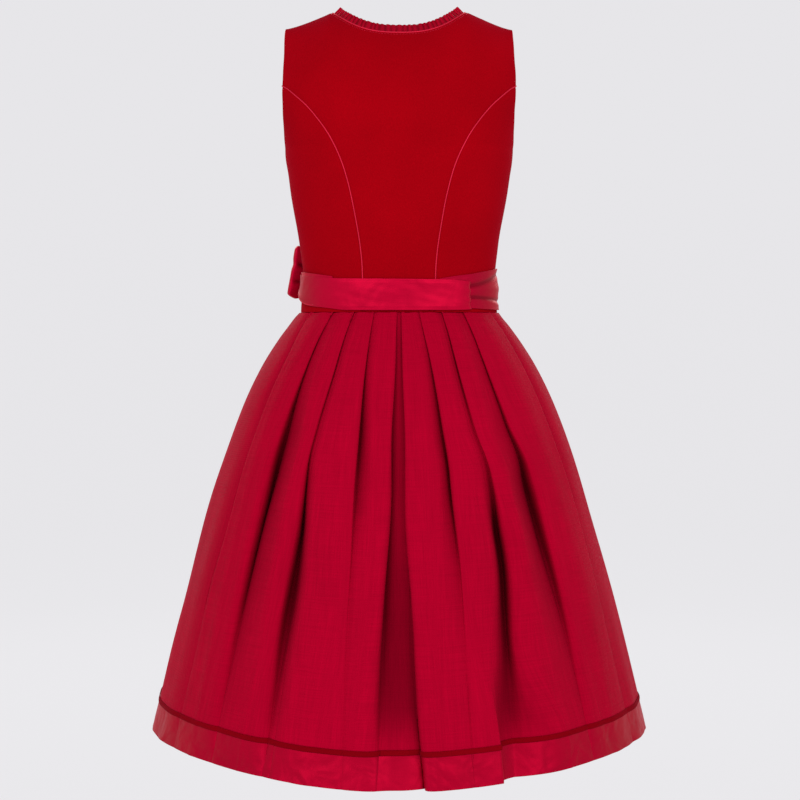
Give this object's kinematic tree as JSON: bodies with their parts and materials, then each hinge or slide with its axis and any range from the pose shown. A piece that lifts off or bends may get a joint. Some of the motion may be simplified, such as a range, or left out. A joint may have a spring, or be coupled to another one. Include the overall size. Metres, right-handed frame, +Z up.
{
  "type": "dirndl dress with apron",
  "caption": "Knee-length sleeveless dirndl, filled out as if worn: piped velvet bodice, pleated skirt with ribbon and satin hem, satin apron tied in a bow.",
  "frame": {"origin": "on the centre line midway between the shoulder seams, where the wearer's shoulders hold the dress up", "axes": "+Z up, -Y to the wearer's front, +X to the wearer's left"},
  "size_m": [0.666, 0.5966, 0.9774],
  "materials": {
    "velvet": "deep red cotton velvet, matt with a soft nap",
    "skirt_cloth": "crimson fine woven cloth with a slight slub, matt",
    "satin": "red satin, smooth and shiny",
    "piping": "red satin piping",
    "ribbon": "dark red velvet ribbon, matt"
  },
  "bodies": {
    "root": {"back_center": "velvet", "back_side_left": "velvet", "back_side_right": "velvet", "front_left": "velvet", "front_right": "velvet", "neck_piping": "piping", "armhole_piping_left": "piping", "armhole_piping_right": "piping", "princess_piping_left": "piping", "princess_piping_right": "piping", "neck_frill": "satin", "skirt_back_center": "skirt_cloth", "skirt_back_side_left": "skirt_cloth", "skirt_back_side_right": "skirt_cloth", "skirt_front_center": "skirt_cloth", "skirt_front_side_left": "skirt_cloth", "skirt_front_side_right": "skirt_cloth", "hem_band_back_center": "satin", "hem_band_back_side_left": "satin", "hem_band_back_side_right": "satin", "hem_band_front_center": "satin", "hem_band_front_side_left": "satin", "hem_band_front_side_right": "satin", "velvet_ribbon": "ribbon", "apron_skirt": "satin", "apron_waistband": "satin", "waist_tie": "satin", "bow_knot": "satin", "bow_loop_back": "satin", "bow_loop_front": "satin", "bow_tail_back": "satin", "bow_tail_front": "satin"}
  },
  "joints": []
}
